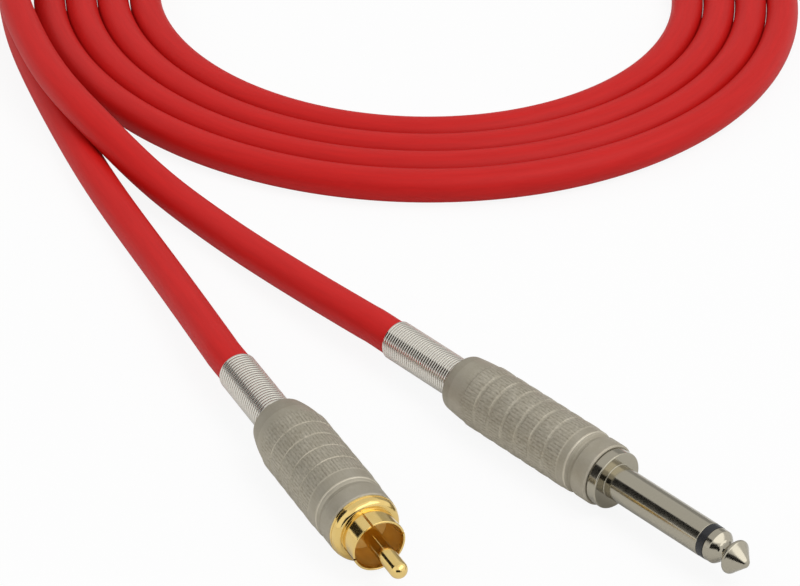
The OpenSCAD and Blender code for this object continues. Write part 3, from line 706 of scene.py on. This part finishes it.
def shell(name, node, place, bell, grip, bands, groove, neck_line, neck_in, ridges, bore,
          thread_r, thread_end):
    """A shell in millimetres: lengths of its bell and grip, a line on its neck, how far the
    neck lies below the knurl, and the bore and thread inside."""
    _, length, knurl_r = measured(node, place)
    neck, rim = bell + grip, length - RIM_LENGTH
    neck_r, rim_r = knurl_r - neck_in, knurl_r - RIM_IN
    outline = rounded(
        bell_outline(bell, BELL_REAR_R, rim_r) + grip_outline(knurl_r, bell, grip, bands, groove)
        + step_down(neck, knurl_r, 0.08) + step_down(neck_line, knurl_r - 0.1, 0.16)
        + [(rim - 3 * EDGE, neck_r, 0.3),
           (rim - EDGE, neck_r, 0.2), (rim + EDGE / 2, rim_r, 0.3), (length - EDGE, rim_r, 0.25),
           (length, rim_r - EDGE, 0.12),
           (length, thread_r, 0.08), (thread_end, thread_r), (thread_end - EDGE, bore),
           (LIP, bore), (LIP, EXIT_R, 0.15), (0, EXIT_R, 0.15)])

    def fade_in(z):
        """The wheel bites in slowly: from 0 to 1, from the end of the bell into the grip."""
        return np.clip((z - bell + 1.5) / 2.5, 0, 1)

    def knurled(z, r, angle):
        """Lowers the radius between the ridges. The wheel never presses two of them alike,
        hands rub the lips of the grooves, and the hollows are painted darker, as painted shade."""
        ridge = angle * ridges / (2 * np.pi)
        phase, number = ridge % 1, np.floor(ridge)
        hollow = np.clip(1 - np.abs(phase - 2 / 3) * 3, 0, 1)
        uneven = (0.62 + 0.2 * np.sin(2.1 * number + 1.7 * z)
                  + 0.18 * np.sin(4.3 * number - 3.1 * z))
        start = fade_in(z)
        end = np.clip((neck + 0.5 - z) / 0.9, 0, 1)
        outer = (r > knurl_r - 0.5) * (r > thread_r + 0.4)
        ring = (np.clip((knurl_r - CROWN - r) / GROOVE_DEPTH, 0, 1)
                * (z > bell + 1) * (z < neck - 1))
        cut = RIDGE_DEPTH * uneven * start * end * outer * (1 - ring)
        handled = 0.62 + 0.24 * np.sin(2 * angle + 0.9 * z) * np.sin(5 * angle - 0.4 * z)
        lip = np.abs(ring - 0.5) < 0.48
        # Painted shade: the hollows between the ridges get a darker colour
        wear_and_painted_light = 0.6 + (0.06 - 0.36 * hollow * uneven) * start * end * outer
        # Painted highlights: the neck ledge is painted a little brighter, and the neck line is painted brightest
        wear_and_painted_light = np.where(np.abs(z - neck) < 0.1, 0.7, wear_and_painted_light)
        wear_and_painted_light = np.where(np.abs(z - neck_line) < 0.1, 1.0, wear_and_painted_light)
        wear_and_painted_light = np.where(ring > 0.9, 0.66, np.where(lip, handled, wear_and_painted_light))
        return r - cut * hollow, np.clip(wear_and_painted_light * outer + 0.5 * (1 - outer), 0, 1)

    piece = turned(name, outline, place, ridges * RIDGE_STEPS, knurled)
    z = local_of(piece)[:, 2]
    mark(piece.data, "knurl", fade_in(z) * np.clip((neck - z) / 0.2, 0, 1))
    return piece


dress(shell("phone_knurled_shell", "phone_shell", PHONE, bell=6, grip=25, bands=7, groove=0.48,
            neck_line=32.8, neck_in=0.85, ridges=58, bore=4.79, thread_r=5.04, thread_end=29.5),
      "phone_handle", "phone_shell")
dress(shell("phono_knurled_shell", "phono_shell", PHONO, bell=6.6, grip=19.4, bands=5, groove=0.28,
            neck_line=28.8, neck_in=0.5, ridges=68, bore=5.14, thread_r=5.54, thread_end=25.5),
      "phono_handle", "phono_shell")

# %% [markdown]
# ## Contacts of the phone plug
# The threaded body, bushing and sleeve are one turned piece. A real thread is a helix, so the
# radius there follows the angle as well as the length, one pitch of 0.75 mm per turn.

# %% Phone plug contacts
PITCH = 0.75
THREAD_DEPTH = 0.3
THREAD_ROWS = 10                   # rows of points in one pitch


def threaded(start, end, crest_r):
    """A shape function that cuts a right-hand thread between two places along the axis."""
    def cut(z, r, angle):
        phase = (z / PITCH - angle / (2 * np.pi)) % 1
        groove = np.clip(np.abs(phase - 0.5) * 4 - 0.6, 0, 1)
        fade = np.clip((z - start) / PITCH, 0, 1) * np.clip((end - z) / PITCH, 0, 1)
        inside = (np.abs(r - crest_r) < 0.01) * (z > start) * (z < end)
        return r - THREAD_DEPTH * groove * fade * inside, 0.5 + 0 * r * angle
    return cut


def thread_rows(start, end, r):
    return [(z, r) for z in np.linspace(start, end, int((end - start) / PITCH * THREAD_ROWS))]


def threaded_rear(rear, bore_r, thread_r, start, end, face):
    """Outline of a plain boss, a thread and the plain groove up to the face of the flange."""
    boss_r, root_r = thread_r - 0.9, thread_r - THREAD_DEPTH
    return ([(rear, bore_r), (rear, boss_r, 0.15), (start, boss_r), (start, root_r)]
            + thread_rows(start + 0.05, end - 0.05, thread_r)
            + [(end, root_r), (face, root_r, 0.1)])


thread_r, bush_r, sleeve_r, bore_r = 5.0, 5.4, 3.175, 2.24
face, front = 38.05, 40.15         # rear and front of the bushing
body_rear, body_end, _ = measured("phone_body", PHONE)
thread_start, thread_end = 32.0, 37.3
outline = rounded(
    threaded_rear(body_rear, bore_r, thread_r, thread_start, thread_end, face)
    + [(face, bush_r, 0.2), (front, bush_r, 0.25), (front, sleeve_r, 0.15),
       (body_end, sleeve_r, 0.12), (body_end, bore_r, 0.05)])
dress(turned("phone_sleeve_contact", outline, PHONE, 192,
             threaded(thread_start, thread_end, thread_r)), "root", "phone_body")

# %% Phone tip and its black ring
tip_rear, tip_end, _ = measured("phone_tip", PHONE)
ring_rear, ring_end, _ = measured("phone_tip_insulator", PHONE)
rod_r, waist_r, bulb_r, nose_r = 1.25, 1.75, 3.145, 1.1
waist_z, waist_round = ring_end + 3.2, 1.1
bulb_z, bulb_round = ring_end + 4.85, 0.5
head_r, head_end = rod_r + 0.6, tip_rear + 0.5        # riveted head at the rear of the rod
waist = [(waist_z + waist_round * math.sin(a), waist_r + waist_round - waist_round * math.cos(a))
         for a in np.radians(np.linspace(-50, 50, 13))]
bulb = [(bulb_z + bulb_round * math.sin(a), bulb_r - bulb_round + bulb_round * math.cos(a))
        for a in np.radians(np.linspace(-40, 55, 10))]
nose = [(tip_end - nose_r + nose_r * math.sin(a), nose_r * math.cos(a))
        for a in np.radians(np.linspace(35, 90, 12))]
outline = rounded([(tip_rear, 0), (tip_rear, head_r, 0.15), (head_end, head_r, 0.15),
                   (head_end, rod_r), (ring_end, rod_r), (ring_end, bulb_r - 0.05, 0.15),
                   (ring_end + 1.35, bulb_r - 0.1, 0.2), (ring_end + 2.05, bulb_r - 0.65)]
                  + waist + bulb + nose)
dress(turned("phone_tip_contact", outline, PHONE, 160), "root", "phone_tip")

insulator_r, insulator_in, ring_r = 2.22, rod_r + 0.02, sleeve_r - 0.05
outline = rounded([(ring_rear, insulator_in), (ring_rear, insulator_r), (body_end, insulator_r),
                   (body_end, ring_r, 0.06), (ring_end, ring_r, 0.06), (ring_end, insulator_in)])
dress(turned("phone_black_ring", outline, PHONE, 128), "root", "phone_tip_insulator")

# %% [markdown]
# ## Contacts of the phono plug
# The ground ring is sawn into four springs, so that it can grip the barrel of a jack. The saw
# leaves slots with parallel walls. Columns of the mesh follow those walls, and the faces
# between them are left out and closed with flat sides and a floor.

# %% Slotted gold body
SLOTS = 4
SLOT_HALF = 0.2                    # mm, half the width of the saw
SLOT_LENGTH = 3.9
SLOT_TURN = math.radians(16)       # first slot, round from straight down
SECTOR_COLUMNS = 40                # columns of points from one slot to the next


def slotted(name, outline, place, slot_z, shape):
    """Spins an outline and saws slots into it from slot_z to the end. The outline holds a
    point at slot_z on its outer side and another on its inner side."""
    z, r = (np.array(outline)[:, k][:, None] for k in (0, 1))
    columns = []
    for s in range(SLOTS):
        middle = SLOT_TURN + 2 * math.pi * s / SLOTS
        half = np.arcsin(np.clip(SLOT_HALF / r, 0, 0.5))
        sweep = 2 * math.pi / SLOTS - 2 * half
        for k in range(SECTOR_COLUMNS + 1):
            columns.append(middle + half + sweep * k / SECTOR_COLUMNS)
    angle = np.concatenate(columns, axis=1)
    count = angle.shape[1]
    radius, wear_and_painted_light = shape(z, r, angle)
    local = np.stack([radius * np.cos(angle), radius * np.sin(angle), z + 0 * angle], axis=2)
    local = local.reshape(-1, 3)
    rows = len(outline)
    cut_rows = [i for i in range(rows) if outline[i][0] >= slot_z - 1e-6]
    last = SECTOR_COLUMNS
    faces = []
    for i in range(rows):
        open_row = i in cut_rows and (i + 1) % rows in cut_rows
        row, next_row = i * count, (i + 1) % rows * count
        for j in range(count):
            across_slot = j % (last + 1) == last
            if not (open_row and across_slot):
                beside = (j + 1) % count
                faces.append((row + j, row + beside, next_row + beside, next_row + j))
    for s in range(SLOTS):
        left = s * (last + 1) + last
        right = (left + 1) % count
        faces.append(tuple(i * count + left for i in cut_rows))
        faces.append(tuple(i * count + right for i in reversed(cut_rows)))
        first, final = cut_rows[0], cut_rows[-1]
        faces.append((first * count + left, final * count + left,
                      final * count + right, first * count + right))
    return new_piece(name, to_frame(place, local), faces, local, wear_and_painted_light)


body_rear, ring_front, flange_r = measured("phono_body", PHONO)
ground_r, ground_in, insert_r, thread_r = 4.95, 4.15, 3.4, 5.5
face, shell_end, flange_t = 34.05, 34.0, 0.5
thread_start, thread_end = 28.0, 33.3
slot_z = ring_front - SLOT_LENGTH
shoulder_r, shoulder_length, lead_in = 5.3, 1.6, 1.5
crown = flange_r - 0.08 - shoulder_r                  # the rounded rise behind the ring
outline = rounded(
    threaded_rear(body_rear, insert_r, thread_r, thread_start, thread_end, face)
    + [(face, flange_r, 0.1), (face + flange_t, flange_r, 0.1)]
    + [(face + flange_t + shoulder_length * math.sin(a), shoulder_r + crown * math.cos(a))
       for a in np.radians(np.linspace(0, 86, 16))]
    + [(face + flange_t + shoulder_length, ground_r, 0.05), (slot_z, ground_r),
       (ring_front, ground_r, 0.15), (ring_front, ground_r - 0.35, 0.08),
       (ring_front - lead_in, ground_in), (slot_z, ground_in),
       (shell_end, ground_in), (shell_end, insert_r)])
gold_body = slotted("phono_gold_body", outline, PHONO, slot_z,
                    threaded(thread_start, thread_end, thread_r))
x, y, z = local_of(gold_body).T
mark(gold_body.data, "bore", (np.hypot(x, y) < ground_in + 0.05) & (z > shell_end - 0.1))
dress(gold_body, "root", "phono_body")

# %% Centre pin
pin_rear, pin_end, pin_r = measured("phono_pin", PHONO)
shank_r, cup_r, cup_depth = 1.3, 0.9, 4
step = 34.6                        # where the shank gives way to the full pin
outline = rounded(
    [(pin_rear, cup_r), (pin_rear, shank_r, 0.1), (step, shank_r), (step, pin_r, 0.1),
     (pin_end - pin_r, pin_r)]
    + [(pin_end - pin_r + pin_r * math.sin(a), pin_r * math.cos(a))
       for a in np.radians(np.linspace(4, 90, 20))]
    + [(pin_rear + cup_depth, 0), (pin_rear + cup_depth, cup_r)])
dress(turned("phono_gold_pin", outline, PHONO, 128), "root", "phono_pin")

# %% [markdown]
# ## Studio
# A white floor fades into a white world, and two soft lamps light the object from above and from
# the side. Polished metal shows its shape only by what it mirrors. So black card stands to the
# left and in front of the set, grey card stands behind and hangs above it, and a bright panel
# under the top lamp makes edges glint. Only reflections see the cards.

# %% Floor
FLOOR_HALF = 15                    # m
floor_mesh = bpy.data.meshes.new("floor")
floor_mesh.from_pydata([(x * FLOOR_HALF, y * FLOOR_HALF, 0) for x, y in
                        ((-1, -1), (1, -1), (1, 1), (-1, 1))], [], [(0, 1, 2, 3)])
floor = bpy.data.objects.new("floor", floor_mesh)
bpy.context.scene.collection.objects.link(floor)
floor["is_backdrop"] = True

paper = bpy.data.materials.new("white_paper")
paper.use_nodes = True
tree = paper.node_tree
tree.nodes.clear()
rays = add(tree, "LightPath")
matt = add(tree, "BsdfDiffuse", {"Color": linear("E6E6E6")})["BSDF"]
white = add(tree, "Emission", {"Color": (1, 1, 1, 1), "Strength": 1.0})["Emission"]
CAMERA_WHITE = 0.9                 # the rest is lit paper, which keeps the shadow
METAL_WHITE = 0.1                  # polished metal sees more of the lit paper
seen = add(tree, "Math", {"operation": "MAXIMUM"},
           {0: rays["Is Glossy Ray"], 1: rays["Is Transmission Ray"]})["Value"]
seen = add(tree, "Math", {"operation": "MULTIPLY", 1: METAL_WHITE}, {0: seen})["Value"]
direct = add(tree, "Math", {"operation": "MULTIPLY", 1: CAMERA_WHITE},
             {0: rays["Is Camera Ray"]})["Value"]
share = add(tree, "Math", {"operation": "MAXIMUM"}, {0: seen, 1: direct})["Value"]
surface = add(tree, "MixShader", links={0: share, 1: matt, 2: white})["Shader"]
add(tree, "OutputMaterial", links={"Surface": surface})
floor_mesh.materials.append(paper)
print("floor reaches %d m each way" % FLOOR_HALF)

# %% World
FILL = 0.62                        # light from all round
world = bpy.data.worlds.new("studio")
world.use_nodes = True
bpy.context.scene.world = world
tree = world.node_tree
tree.nodes.clear()
rays = add(tree, "LightPath")
seen = add(tree, "Math", {"operation": "MAXIMUM"},
           {0: rays["Is Camera Ray"], 1: rays["Is Glossy Ray"]})["Value"]
seen = add(tree, "Math", {"operation": "MAXIMUM"},
           {0: seen, 1: rays["Is Transmission Ray"]})["Value"]
strength = add(tree, "MapRange", {"To Min": FILL, "To Max": 1.0}, {"Value": seen})["Result"]
backdrop = add(tree, "Background", {"Color": (1, 1, 1, 1)}, {"Strength": strength})["Background"]
add(tree, "OutputWorld", links={"Surface": backdrop})
print("fill light:", FILL)


# %% Cards, seen only in reflections
BAND_STEPS = 32                    # flat strips in a bent card


def card(name, points, faces, tone, strength=1.0):
    """A card of this sRGB tone that only glossy rays see."""
    mesh = bpy.data.meshes.new(name)
    mesh.from_pydata(points, [], faces)
    piece = bpy.data.objects.new(name, mesh)
    bpy.context.scene.collection.objects.link(piece)
    paint = bpy.data.materials.new(name)
    paint.use_nodes = True
    paint.node_tree.nodes.clear()
    glow = add(paint.node_tree, "Emission",
               {"Color": linear(tone), "Strength": strength})["Emission"]
    add(paint.node_tree, "OutputMaterial", links={"Surface": glow})
    mesh.materials.append(paint)
    piece.visible_camera = piece.visible_diffuse = piece.visible_shadow = False
    piece.visible_transmission = False
    piece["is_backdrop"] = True
    print("card", name, "of tone", tone)


def card_band(name, radius, headings, elevations, tone, strength=1.0):
    """A standing band of card, between two headings and two elevations in degrees."""
    first, last = headings
    ends = [math.radians(first + (last - first) * k / BAND_STEPS) for k in range(BAND_STEPS + 1)]
    points = [(radius * math.cos(a), radius * math.sin(a), radius * math.tan(math.radians(e)))
              for e in elevations for a in ends]
    row = BAND_STEPS + 1
    faces = [(k, k + 1, row + k + 1, row + k) for k in range(BAND_STEPS)]
    card(name, points, faces, tone, strength)


def card_overhead(name, height, x, y, tone):
    """A level card between two values of x and two of y."""
    corner = [(x[0], y[0]), (x[1], y[0]), (x[1], y[1]), (x[0], y[1])]
    card(name, [(*c, height) for c in corner], [(0, 1, 2, 3)], tone)


card_band("black_left", 2.2, (194, 238), (8, 48), "2C2C2C")
card_band("grey_back", 2.4, (95, 192), (1, 30), "B4B4B4")
card_band("black_front", 0.9, (-68, -20), (1, 28), "242424")
card_band("dark_front", 2.6, (-20, 0), (1, 10), "303030")
card_overhead("grey_overhead", 1.3, (-3.0, 0.05), (-0.8, 2.0), "E8E8E8")
card_band("bright_panel", 1.5, (-30, 62), (32, 62), "FFFFFF", strength=2.1)


# %% Lamps
MIDDLE = Vector((-0.08, 0.06, 0))


def soft_lamp(name, at, size, watts):
    """A square area lamp at a point, aimed at the middle of the object."""
    lamp = bpy.data.lights.new(name, "AREA")
    lamp.size = size
    lamp.energy = watts
    holder = bpy.data.objects.new(name, lamp)
    bpy.context.scene.collection.objects.link(holder)
    holder.location = at
    aim = MIDDLE - Vector(at)
    holder.rotation_euler = aim.to_track_quat("-Z", "Y").to_euler()
    holder.visible_glossy = False


soft_lamp("top_lamp", (0.55, 0.3, 1.3), size=0.9, watts=10)
soft_lamp("side_lamp", (-1.2, -0.6, 0.9), size=0.7, watts=4)
print("lamps:", ", ".join(sorted(lamp.name for lamp in bpy.data.lights)))

# %% View settings and sizes
bpy.context.scene.view_settings.view_transform = "Standard"
visual_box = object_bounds()
for label, (low, high) in (("cad", cad_box), ("visual", visual_box)):
    print(label, [round(c / MM, 2) for c in low], [round(c / MM, 2) for c in high])
